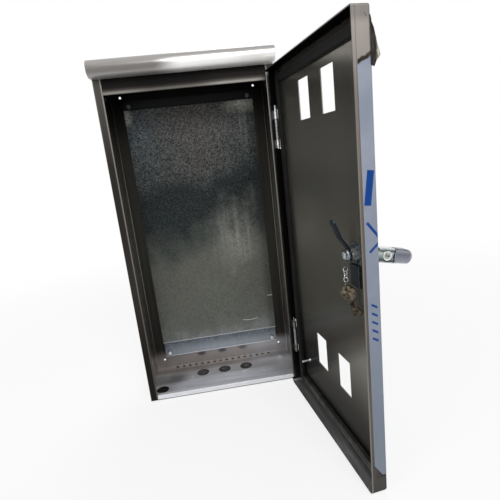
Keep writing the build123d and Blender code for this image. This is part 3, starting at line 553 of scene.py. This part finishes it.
@dataclass(frozen=True)
class DoorSheet:
    """Door tray: brown grey brushed inside, streaked flanges, bare metal at the outside's edges, and painted light
    and shade within.
    """

    name: str = "stainless_door"
    inside: Colour = hue(152, 149, 141)
    # Tone painted high up, as painted light and shade.
    light: Colour = hue(122, 120, 115)
    flange: Colour = hue(84, 83, 80)
    bare: Colour = hue(148, 143, 137)
    foot: Colour = hue(70, 69, 67)
    half: float = 0.1490
    tear: float = 0.5312
    tear_slope: float = 0.47

    def material(self) -> bpy.types.Material:
        """Makes the material."""
        graph = Graph(self.name)
        local = DOOR.local(graph)
        across, inward, up = graph.split(local)
        grain = graph.grain(local, Run.UP)
        patch = graph.noise(graph.turned(local, (1.0, 1.0, 0.35)), 12.0, 4.0)
        streak = graph.noise(graph.turned(local, (0.05, 1.0, 1.0)), 240.0, 3.0)
        # Painted light and shade: the upper part takes another tone, reaching lower towards the free edge.
        tone = graph.mix((up + across * -0.25).rise(0.42, 0.60) * 0.6, self.inside, self.light)
        # Painted shade towards the foot.
        tone = graph.mix((up + patch * 0.02).rise(0.24, 0.06), tone, hue(50, 49, 46))
        # Painted light in a middle band; painted shade towards the hinge side.
        tone = graph.shade(tone, 1 + up.band(0.30, 0.50, 0.08) * 0.3 - across.rise(0.095, 0.140) * 0.62)
        wall = inward.rise(0.0019, 0.0030)
        # Flanges: painted shade on the top one and the hinge one, painted light on the bottom one.
        flange_light_and_shade = (1 - up.rise(0.574, 0.577) * 0.92) * (1 - across.rise(0.140, 0.146) * 0.9)
        flange_light_and_shade = flange_light_and_shade * (1 + up.rise(0.06, 0.01) * 1.5)
        tone = graph.mix(wall, tone, graph.shade(self.flange, (0.45 + streak * 1.1) * flange_light_and_shade))
        # Painted highlight on the bottom flange's inner face.
        tone = graph.mix(wall * up.rise(0.006, 0.003), tone, graph.shade(hue(190, 192, 192), 0.4 + streak * 1.2))
        tone = graph.mix(inward.rise(0.0200, 0.0208) * 0.8, tone, hue(150, 148, 146))
        edge = (across * -1.0).rise(self.half - 0.0004, self.half)
        outer = edge.above(inward.rise(0.0005, 0.0001)).above(across.rise(self.half - 0.0002, self.half + 0.0002))
        outer = outer.above((up - 0.5789).rise(0.0, 0.0003)).above((up - 0.0016).rise(0.0, -0.0003))
        bare = graph.ladder(up, 0.0, 0.6, [
            (0.02, self.foot), (0.10, hue(92, 86, 80)), (0.36, hue(104, 96, 89)), (0.50, hue(128, 120, 113)),
            (0.535, self.bare), (0.575, hue(158, 151, 145))])
        lip = edge * inward.band(0.0168, 0.0180, 0.0004)
        bare = graph.mix(lip * 0.45, bare, hue(70, 66, 62))
        bare = graph.mix(edge * inward.rise(0.0196, 0.0206) * up.rise(0.52, 0.40) * 0.6, bare, hue(150, 146, 140))
        bare = graph.mix(up.rise(0.5600, 0.5700) * 0.6, bare, hue(100, 98, 96))
        torn = up + inward * self.tear_slope + (graph.noise(local, 150.0) - 0.5) * 0.005
        stuck = inward.rise(0.0168, 0.0162)
        left = torn.rise(self.tear, self.tear - 0.0006) * up.rise(0.5215, 0.5220) * stuck
        bare = graph.mix(left, bare, hue(138, 146, 162))
        fold = torn.band(self.tear, self.tear + 0.0050, 0.0010) * stuck
        bare = graph.mix(fold, bare, graph.mix(patch.rise(0.45, 0.6), hue(40, 35, 31), hue(88, 80, 72)))
        thin_mark = abs(inward - 0.0045 - (up - 0.567) * 0.7).rise(0.0006, 0.0003) * up.band(0.567, 0.571, 0.0004)
        bare = graph.mix(thin_mark * edge * 0.8, bare, hue(60, 56, 52))
        tone = graph.mix(outer, tone, graph.mix(patch.rise(0.4, 0.75) * 0.35, bare, hue(120, 113, 106)))
        tone = graph.shade(tone, 0.70 + grain * 0.38 + patch * 0.24)
        shine = (1 - wall) * (1 - outer) * 0.13
        return graph.surface({"Base Color": tone, "Metallic": 0.86, "Roughness": 0.27 + patch * 0.14 - shine,
                              "Specular Tint": (0.45, 0.45, 0.45, 1.0), "Normal": graph.dents(grain, 0.00012, 0.45)})


@dataclass(frozen=True)
class FoamRubber:
    """Dark foam strip with fine pores, dust and a pale outer edge."""

    name: str = "gasket_foam"

    def material(self) -> bpy.types.Material:
        """Makes the material."""
        graph = Graph(self.name)
        local = DOOR.local(graph)
        across, inward, up = graph.split(local)
        pores = graph.noise(local, 1800.0, 2.0)
        dust = graph.noise(local, 60.0, 4.0)
        crest = inward.rise(0.0058, 0.0070)
        margin = (0.1495 - abs(across)).below(up - 0.001).below(0.5794 - up)
        tone = graph.mix(dust.rise(0.35, 0.8), hue(40, 39, 38), hue(72, 70, 67))
        tone = graph.mix(crest * margin.rise(0.0128, 0.0112) * 0.8, tone, hue(150, 149, 146))
        # Painted shade: darker towards the hinge side and at the top, beneath the top flange.
        shade = 1 - across.rise(0.110, 0.125) * 0.88
        tone = graph.shade(tone, shade * (1 - up.rise(0.552, 0.560) * 0.97))
        return graph.surface({"Base Color": tone, "Roughness": 0.58 + pores * 0.25, "Specular IOR Level": 0.25,
                              "Normal": graph.dents(pores, 0.0002, 0.4)})


@dataclass(frozen=True)
class ProtectiveFilm:
    """Blue grey film with soft creases, a torn head, a rounded foot and plain blue bars."""

    name: str = "protective_film"
    tone: Colour = hue(128, 135, 150)
    paler_tone: Colour = hue(143, 148, 160)
    ink: Colour = hue(4, 58, 128)
    soft: float = 0.0004

    @staticmethod
    def bar(width: Sig, up: Sig, place: tuple[float, float], lean: float, size: tuple[float, float]) -> Sig:
        """A plain slanting bar of ink.

        Args:
            width: Distance round the film's bend.
            up: Height.
            place: Middle of the bar in both.
            lean: Angle of the bar from the level, in degrees.
            size: Half its length and half its breadth.

        Returns:
            One on the bar, with soft ends.
        """
        turn_x, turn_y = math.cos(math.radians(lean)), math.sin(math.radians(lean))
        run = (width - place[0]) * turn_x + (up - place[1]) * turn_y
        rise = (up - place[1]) * turn_x - (width - place[0]) * turn_y
        soft = ProtectiveFilm.soft
        return (abs(run).rise(size[0] + soft, size[0] - soft)
                * abs(rise).rise(size[1] + soft, size[1] - soft))

    def material(self) -> bpy.types.Material:
        """Makes the material."""
        graph = Graph(self.name)
        local = DOOR.local(graph)
        across, inward, up = graph.split(local)
        width = across - inward
        crease = graph.noise(graph.turned(local, (1.0, 1.0, 0.12)), 90.0, 4.0)
        cloud = graph.noise(local, 16.0, 4.0)
        tone = graph.mix(cloud.rise(0.35, 0.7), self.tone, self.paler_tone)
        # Painted shade, darker towards the bottom.
        tone = graph.mix(up.rise(0.42, 0.05) * 0.7, tone, hue(108, 117, 129))
        flank = width.rise(-0.1470, -0.1476)
        marks = self.bar(width, up, (-0.1590, 0.3990), 82.0, (0.0190, 0.0042))
        for place, lean, size in (((-0.1560, 0.3520), -52.0, (0.0120, 0.0016)),
                                  ((-0.1545, 0.3330), 40.0, (0.0090, 0.0014))):
            marks = marks.above(self.bar(width, up, place, lean, size))
        strokes = (up + width * 0.6).beat(0.0105).rise(0.34, 0.38) * up.band(0.2150, 0.2700, 0.001)
        marks = marks.above(strokes * width.band(-0.1620, -0.1545, 0.0004)) * flank
        rows = (up * 0.86 + width * 0.52).beat(0.030).rise(0.34, 0.36)
        rows = rows * (up - width * 0.35).beat(0.19).rise(0.14, 0.12)
        marks = marks.above(rows * (1 - flank)) * (0.86 + crease * 0.28)
        tone = graph.mix(marks.below(0.99), tone, self.ink)
        rag = graph.noise(local, 120.0, 3.0)
        tear = (up + rag * 0.002).rise(0.5250, 0.5246)
        on_face = (across + 0.1472).rise(-0.0002, 0.0004)
        corner = (up - 0.030 - (inward - 0.006).above(0.0) * 1.5).rise(0.0, 0.0006)
        alpha = tear.above(on_face) * corner.above(on_face)
        return graph.surface({"Base Color": tone, "Roughness": 0.34 + cloud * 0.16, "Specular IOR Level": 0.12,
                              "Alpha": alpha, "Normal": graph.dents(crease, 0.0006, 0.4)})


@dataclass(frozen=True)
class PeeledFilm:
    """Back of the peeled film: olive grey with brown, dirty folds."""

    name: str = "peeled_film"

    def material(self) -> bpy.types.Material:
        """Makes the material."""
        graph = Graph(self.name)
        local = DOOR.local(graph)
        folds = graph.noise(graph.turned(local, (1.0, 1.0, 0.25)), 420.0, 4.0)
        dirt = graph.noise(local, 150.0, 3.0)
        inward = graph.split(local)[1]
        tone = graph.mix(folds.rise(0.35, 0.68), hue(84, 78, 70), hue(168, 164, 154))
        tone = graph.mix(dirt.rise(0.5, 0.75) * 0.6, tone, hue(66, 63, 70))
        # Painted shade: nearly black at the root beside the door, lighter towards the tip.
        tone = graph.shade(tone, 0.10 + inward.rise(-0.0030, -0.0050) * 1.3)
        return graph.surface({"Base Color": tone, "Roughness": 0.42 + dirt * 0.2, "Specular IOR Level": 0.12,
                              "Normal": graph.dents(folds, 0.0008, 0.5)})


@dataclass(frozen=True)
class PlatedSteel:
    """Small plated steel with a mottled tone and scuffs.

    Attributes:
        name: Name of the material.
        tone: Tone of most of it.
        dark: Tone of its patches.
        rough: Least roughness.
        metal: Share of metal.
        mottle: Patches in a metre.
        thread: Pitch of turned lines on the door, or 0 for none.
        above: Height over which the tone is multiplied, as painted light and shade, or 0 for none.
        light_and_shade_share: What the tone is multiplied by there.
    """

    name: str
    tone: Colour
    dark: Colour
    rough: float = 0.24
    metal: float = 0.95
    mottle: float = 260.0
    thread: float = 0.0
    above: float = 0.0
    light_and_shade_share: float = 0.12

    def material(self) -> bpy.types.Material:
        """Makes the material."""
        graph = Graph(self.name)
        place = graph.here()
        patch = graph.noise(place, self.mottle, 4.0)
        scuff = graph.noise(graph.turned(place, (1.0, 1.0, 0.2)), 900.0, 2.0)
        tone = graph.mix(patch.rise(0.36, 0.68), self.tone, self.dark)
        tone = graph.shade(tone, 0.88 + scuff * 0.24)
        # Painted light and shade: the tone is multiplied above a given height.
        if self.above:
            level = graph.split(place)[2]
            tone = graph.shade(tone, 1 + level.rise(self.above, self.above + 0.003) * (self.light_and_shade_share - 1))
        height = patch * 0.16 + scuff * 0.05
        if self.thread:
            inward = graph.split(DOOR.local(graph))[1]
            # Turned lines: bumps, with painted shade in their grooves and painted light on their crests.
            turns = inward.beat(self.thread) * 2
            tone = graph.shade(tone, 0.55 + turns * 0.7)
            height = height + turns
        return graph.surface({"Base Color": tone, "Metallic": self.metal,
                              "Roughness": self.rough + patch * 0.14,
                              "Normal": graph.dents(height, 0.0004, 0.4)})


@dataclass(frozen=True)
class ChromeCasting:
    """Polished casting of the handle: painted reflections in dark and pale bands along its grip and at its root, with
    painted shade at the pivot and a painted highlight at its end.
    """

    name: str = "chrome_handle"
    pivot: tuple[float, float] = (-0.0130, 0.3118)
    droop: float = math.radians(13.0)

    def material(self) -> bpy.types.Material:
        """Makes the material."""
        graph = Graph(self.name)
        local = DOOR.local(graph)
        _, inward, up = graph.split(local)
        out, lift = inward - self.pivot[0], up - self.pivot[1]
        along = out * -math.cos(self.droop) + lift * -math.sin(self.droop)
        over = out * -math.sin(self.droop) + lift * math.cos(self.droop)
        wave = graph.noise(local, 190.0, 3.0)
        fine = graph.noise(graph.turned(local, (1.0, 1.0, 0.1)), 700.0, 2.0)
        # Painted reflections across the grip.
        grip = graph.ladder(over + (wave - 0.5) * 0.002, -0.0095, 0.0095, [
            (-0.0092, hue(226, 228, 234)), (-0.0075, hue(150, 153, 162)), (-0.0030, hue(132, 134, 146)),
            (0.0030, hue(110, 112, 124)), (0.0072, hue(150, 152, 160)), (0.0092, hue(84, 88, 96))])
        # Painted reflections round the root.
        root = graph.ladder(over + (wave - 0.5) * 0.006, -0.0095, 0.0095, [
            (-0.0090, hue(176, 184, 184)), (-0.0070, hue(40, 48, 48)), (-0.0020, hue(134, 148, 146)),
            (0.0030, hue(176, 186, 186)), (0.0060, hue(60, 70, 68)), (0.0090, hue(206, 212, 214))])
        # Painted shade near the pivot.
        root = graph.mix((along.rise(0.008, -0.004) * 0.75), root, hue(36, 42, 44))
        tone = graph.mix(along.rise(0.0345, 0.0370), root, grip)
        tone = graph.mix(along.band(0.0335, 0.0350, 0.0006), tone, hue(46, 48, 54))
        # Painted highlight at the grip's end.
        tone = graph.mix(along.rise(0.0560, 0.0600) * 0.6, tone, hue(214, 216, 222))
        return graph.surface({"Base Color": graph.shade(tone, 0.9 + fine * 0.2), "Metallic": 0.96,
                              "Roughness": 0.12 + wave * 0.14, "Normal": graph.dents(wave, 0.0004, 0.3)})


def wear(name: str, finish: Any) -> None:
    """Gives a CAD node one finish.

    Args:
        name: Node to dress.
        finish: A finish with a material method.
    """
    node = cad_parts[name]
    node.data.materials.clear()
    node.data.materials.append(finish.material())
    LOG.info("dressed %s", name)


class Bench:
    """Work on one new mesh at a time, in the shut door's own directions or the world's."""

    def __init__(self, name: str, add: Callable[..., Any], **sizes: Any) -> None:
        """Starts a piece from one primitive, with nothing else selected."""
        bpy.ops.object.select_all(action="DESELECT")
        add(**sizes)
        self.made = bpy.context.object
        self.made.name = name
        self.made.data.name = name

    def pick(self, test: Callable[[Vector], bool]) -> None:
        """Selects, in edit mode, the points whose place passes the test."""
        bpy.ops.object.mode_set(mode="EDIT")
        bpy.ops.mesh.select_mode(type="VERT")
        bpy.ops.mesh.select_all(action="DESELECT")
        bpy.ops.object.mode_set(mode="OBJECT")
        for point in self.made.data.vertices:
            point.select = test(point.co)
        bpy.ops.object.mode_set(mode="EDIT")

    def modify(self, kind: str, **settings: Any) -> None:
        """Adds a modifier with its settings and applies it."""
        bpy.ops.object.mode_set(mode="OBJECT")
        added = self.made.modifiers.new(kind.lower(), kind)
        for key, value in settings.items():
            setattr(added, key, value)
        bpy.ops.object.modifier_apply(modifier=added.name)

    def close(self, place: Matrix, body: str, slot: str, finish: Any) -> bpy.types.Object:
        """Puts the piece in its place for good, dresses it and lets it ride.

        Args:
            place: Matrix from the piece's own directions to the world.
            body: Body that carries it.
            slot: Material slot of the record; not used.
            finish: A finish with a material method.

        Returns:
            The finished piece.
        """
        bpy.ops.object.mode_set(mode="OBJECT")
        self.made.matrix_world = place
        bpy.ops.object.transform_apply(location=True, rotation=True, scale=True)
        bpy.ops.object.shade_smooth_by_angle(angle=math.radians(50))
        self.made.data.materials.append(finish.material())
        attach(self.made, body)
        LOG.info("made %s", self.made.name)
        return self.made


@dataclass
class Cabinet:
    """The fixed box: sheet body, hood, plate and fixings."""

    def build(self) -> None:
        """Dresses the CAD nodes of the cabinet."""
        wear("wrapper", WrapperSheet())
        wear("floor_panel", FloorSheet())
        wear("ceiling_panel", CeilingSheet())
        wear("rain_hood", HoodSheet())
        wear("mounting_plate", SpangledZinc())
        # Painted shade on the upper plate fixings; painted light on the upper hinge's pins and ears.
        wear("plate_studs", PlatedSteel("zinc_studs", hue(254, 254, 255), hue(226, 229, 232), 0.3, 0.2, above=0.5))
        wear("plate_nuts", PlatedSteel("zinc_nuts", hue(216, 219, 223), hue(120, 124, 130), 0.26, 0.6, above=0.5))
        wear("plate_washers", PlatedSteel("zinc_washers", hue(120, 125, 132), hue(78, 83, 90), above=0.5))
        wear("hinge_pins", PlatedSteel("zinc_hinge_pins", hue(122, 123, 126), hue(84, 86, 90), above=0.3,
                                       light_and_shade_share=2.9))
        wear("plate_spacers", PlatedSteel("zinc_spacers", hue(142, 146, 152), hue(96, 101, 108)))
        wear("hinge_ears", PlatedSteel("hinge_ear_steel", hue(122, 121, 123), hue(84, 83, 85), 0.3, above=0.3,
                                       light_and_shade_share=3.2))


@dataclass
class Door:
    """The open door with its gasket, leaves, film and earth stud, and the film that peels at its head."""

    body: str = "door"
    flap_head: float = 0.5690
    flap_foot: float = 0.5215
    flap_reach: float = 0.0100
    flap_stand: float = -0.1499
    flap_shares: tuple[float, ...] = (0.30, 0.38, 0.50, 0.62, 1.00, 0.92, 0.82, 0.72, 0.62, 0.53, 0.44, 0.36,
                                      0.28, 0.20, 0.12, 0.07)
    flap_columns: int = 6
    flap_sag: float = -0.0006
    flap_waves: tuple[float, float] = (0.0011, -0.0004)
    flap_crumple: float = 0.0009
    flap_thick: float = 0.00025
    flap_root: float = 0.0016
    stud_place: tuple[float, float] = (0.0940, 0.0700)
    stud_foot: float = 0.0014
    stud_collar: float = 0.0027
    stud_weld_share: float = 0.86
    stud_neck_share: float = 0.68
    stud_groove_share: float = 0.88
    stud_tip_share: float = 0.7
    stud_ridge: float = 0.0005
    stud_grooves: int = 13
    sheet: float = 0.0012

    def build(self) -> None:
        """Dresses the CAD nodes of the door, and makes the peeled film and the earth stud."""
        wear("door_panel", DoorSheet())
        wear("door_gasket", FoamRubber())
        wear("hinge_leaves", PlatedSteel("hinge_leaf_steel", hue(150, 149, 152), hue(92, 90, 92), 0.3))
        wear("door_film", ProtectiveFilm())
        self.flap()
        self.stud()

    def flap(self) -> bpy.types.Object:
        """Makes the strip of film that has peeled from the free edge's head.

        Returns:
            The finished piece.
        """
        height = self.flap_head - self.flap_foot
        rows = len(self.flap_shares) - 1
        bench = Bench("film_flap", bpy.ops.mesh.primitive_grid_add, x_subdivisions=self.flap_columns,
                      y_subdivisions=rows, size=1.0)
        bench.pick(lambda place: True)
        bpy.ops.transform.resize(value=(self.flap_reach, height, 1.0), center_override=(-0.5, -0.5, 0.0))
        bpy.ops.transform.translate(value=(0.5, 0.5, 0.0))
        for row, reach in enumerate(self.flap_shares):
            level = height * row / rows
            bench.pick(lambda place: abs(place.y - level) < height / rows / 3)
            bpy.ops.transform.resize(value=(reach, 1.0, 1.0), center_override=(0.0, level, 0.0))
        for column in range(1, self.flap_columns + 1):
            share = column / self.flap_columns
            bench.pick(lambda place: place.x > self.flap_reach * share * 0.6)
            bpy.ops.transform.translate(value=(0.0, self.flap_sag, self.flap_waves[1 - column % 2]))
        bench.pick(lambda place: place.x > self.flap_reach * 0.12)
        bpy.ops.transform.vertex_random(offset=self.flap_crumple, seed=4)
        bench.modify("SUBSURF", levels=2, render_levels=2)
        bench.modify("SOLIDIFY", thickness=self.flap_thick, offset=0.0)
        turn = Matrix(((0, 0, -1, self.flap_stand), (-1, 0, 0, self.flap_root), (0, 1, 0, self.flap_foot),
                       (0, 0, 0, 1)))
        return bench.close(DOOR.matrix() @ turn, self.body, "film", PeeledFilm())

    def stud(self) -> bpy.types.Object:
        """Makes the threaded earth stud, welded inside the door low on its hinge side.

        Returns:
            The finished piece.
        """
        bench = Bench("earth_stud", bpy.ops.mesh.primitive_cylinder_add, vertices=16, radius=self.stud_collar,
                      depth=self.stud_foot)
        level = self.stud_foot / 2
        weld = [self.stud_weld_share, self.stud_neck_share / self.stud_weld_share]
        thread = [self.stud_groove_share, 1 / self.stud_groove_share] * self.stud_grooves
        for share in weld + thread + [self.stud_tip_share]:
            bench.pick(lambda place: place.z > level - self.stud_ridge / 4)
            bpy.ops.mesh.select_mode(type="VERT")
            bpy.ops.mesh.extrude_region_move(TRANSFORM_OT_translate={"value": (0.0, 0.0, self.stud_ridge)})
            level += self.stud_ridge
            bpy.ops.transform.resize(value=(share, share, 1.0), center_override=(0.0, 0.0, level))
        place = (self.stud_place[0], self.sheet + self.stud_foot / 2, self.stud_place[1])
        turn = Matrix(((1, 0, 0, place[0]), (0, 0, 1, place[1]), (0, -1, 0, place[2]), (0, 0, 0, 1)))
        return bench.close(DOOR.matrix() @ turn, self.body, "zinc_plate",
                           PlatedSteel("zinc_earth_stud", hue(240, 242, 245), hue(172, 175, 180), 0.24, 0.7))


@dataclass
class Lock:
    """The cam lock with its folding handle and its keys."""

    def build(self) -> None:
        """Dresses the CAD nodes of the lock and the keys."""
        wear("lock_body", PlatedSteel("zinc_lock_body", hue(214, 212, 208), hue(112, 116, 120), 0.2, mottle=200.0,
                                      thread=0.0011))
        wear("ring_nut", PlatedSteel("zinc_ring_nut", hue(172, 178, 182), hue(96, 103, 110), mottle=220.0))
        # The rear box is painted lighter on its upper part, as painted light.
        wear("lock_rear_box", PlatedSteel("dark_box_steel", hue(58, 63, 67), hue(34, 38, 42), 0.42, 0.7, above=0.3000,
                                          light_and_shade_share=3.6))
        for name in ("spindle", "cam_washer", "cam_nut", "handle_pin"):
            wear(name, PlatedSteel(f"zinc_{name}", hue(250, 253, 254), hue(176, 184, 190), 0.2, 0.6))
        wear("key_loop", PlatedSteel("key_loop_steel", hue(96, 102, 106), hue(52, 57, 61)))
        wear("key_chain", PlatedSteel("key_chain_steel", hue(236, 239, 239), hue(112, 118, 120), 0.2, 0.6, 420.0))
        wear("key_ring", PlatedSteel("key_ring_steel", hue(120, 114, 106), hue(70, 66, 62)))
        wear("cam", PlatedSteel("cam_steel", hue(82, 94, 107), hue(52, 62, 73), 0.28, 0.9))
        wear("handle", ChromeCasting())
        wear("key_barrel", PlatedSteel("chrome_barrel", hue(232, 235, 234), hue(190, 198, 196), 0.2))
        wear("key_plug", PlatedSteel("plug_brass", hue(178, 180, 172), hue(128, 130, 122), 0.26))
        # The keys' heads are painted lighter than their blades, as painted light.
        wear("keys", PlatedSteel("key_brass", hue(84, 76, 64), hue(14, 12, 10), 0.22, 0.9, 240.0, above=0.2560,
                                 light_and_shade_share=2.2))


@dataclass
class Studio:
    """Pale floor, soft lamps and the camera."""

    lens: float = 29.1808
    stand: tuple[float, float, float] = (0.007313, -0.790308, 0.449237)
    turn: tuple[float, float, float] = (76.55495, 6.203595, -6.901869)
    lamps: list[tuple[str, tuple[float, float, float], tuple[float, float, float], float, float]] = field(
        default_factory=lambda: [
            ("key_lamp", (0.75, -2.1, 1.9), (0.0, -0.05, 0.45), 0.9, 22.0),
            ("front_lamp", (0.12, -1.35, 1.20), (0.0, -0.05, 0.55), 0.45, 4.0),
            ("fill_lamp", (-1.8, -1.4, 1.1), (0.0, -0.1, 0.3), 1.2, 14.0),
            ("back_lamp", (0.6, 1.9, 1.8), (0.0, 0.0, 0.4), 1.4, 20.0)])

    def light(self) -> None:
        """Makes the world and the lamps."""
        world = bpy.data.worlds.new("studio_world")
        bpy.context.scene.world = world
        graph = Graph("studio_world", world)
        shown = self.shown(graph)
        soft = graph.node("ShaderNodeBackground", None, {"Color": (1, 1, 1, 1), "Strength": 0.45})
        white = graph.node("ShaderNodeBackground", None, {"Color": (1, 1, 1, 1), "Strength": 1.0})
        graph.node_output(graph.node("ShaderNodeMixShader", None, {0: shown, 1: soft, 2: white}),
                          "ShaderNodeOutputWorld")
        for name, stand, aim, size, power in self.lamps:
            data = bpy.data.lights.new(name, "AREA")
            data.shape = "DISK"
            data.size = size
            data.energy = power
            lamp = bpy.data.objects.new(name, data)
            lamp.location = stand
            lamp.rotation_mode = "QUATERNION"
            lamp.rotation_quaternion = (Vector(aim) - Vector(stand)).to_track_quat("-Z", "Y")
            lamp.visible_camera = False
            bpy.context.scene.collection.objects.link(lamp)

    @staticmethod
    def shown(graph: Graph) -> Sig:
        """One for the rays that see the background: from the camera, a gloss or a clear pane."""
        seen = graph.node("ShaderNodeLightPath", None, None, "Is Camera Ray")
        for kind in ("Is Glossy Ray", "Is Transmission Ray"):
            seen = seen.above(graph.node("ShaderNodeLightPath", None, None, kind))
        return seen

    def floor(self) -> None:
        """Makes the pale floor, white in the distance and painted dark, without glow, beneath the box as painted
        shade.
        """
        bpy.ops.object.select_all(action="DESELECT")
        bpy.ops.mesh.primitive_plane_add(size=60, location=(0, 0, -0.0006))
        ground = bpy.context.object
        ground.name = "studio_floor"
        graph = Graph("pale_floor")
        across, deep, _ = graph.split(graph.here())
        # Painted shade: dark, with no glow, beneath the box.
        under = abs(across).rise(0.1520, 0.1480) * abs(deep).rise(0.0645, 0.0605)
        far = graph.away(across, deep).rise(0.5, 1.5)
        share = (0.80 + far * 0.20) * (1 - under)
        pale = graph.mix(under, (0.86, 0.86, 0.86, 1), (0.02, 0.02, 0.02, 1))
        matt = graph.node("ShaderNodeBsdfDiffuse", None, {"Color": pale})
        glow = graph.node("ShaderNodeEmission", None, {"Color": (1, 1, 1, 1), "Strength": 1.0})
        graph.node_output(graph.node("ShaderNodeMixShader", None, {0: self.shown(graph) * share, 1: matt, 2: glow}))
        ground.data.materials.append(graph.material)

    def camera(self) -> None:
        """Makes the camera at the photograph's place."""
        data = bpy.data.cameras.new("front_camera")
        data.sensor_width = 36.0
        data.lens = self.lens
        data.clip_start = 0.01
        holder = bpy.data.objects.new("front_camera", data)
        holder.location = self.stand
        holder.rotation_euler = tuple(math.radians(angle) for angle in self.turn)
        bpy.context.scene.collection.objects.link(holder)
        bpy.context.scene.camera = holder
        bpy.context.scene.view_settings.view_transform = "Standard"


def main() -> None:
    """Builds and dresses every sub-assembly in order."""
    logging.basicConfig(level=logging.INFO)
    for assembly in (Cabinet(), Door(), Lock()):
        assembly.build()
        LOG.info("finished %s", type(assembly).__name__)
    studio = Studio()
    studio.light()
    studio.floor()
    studio.camera()


if __name__ == "__main__":
    main()
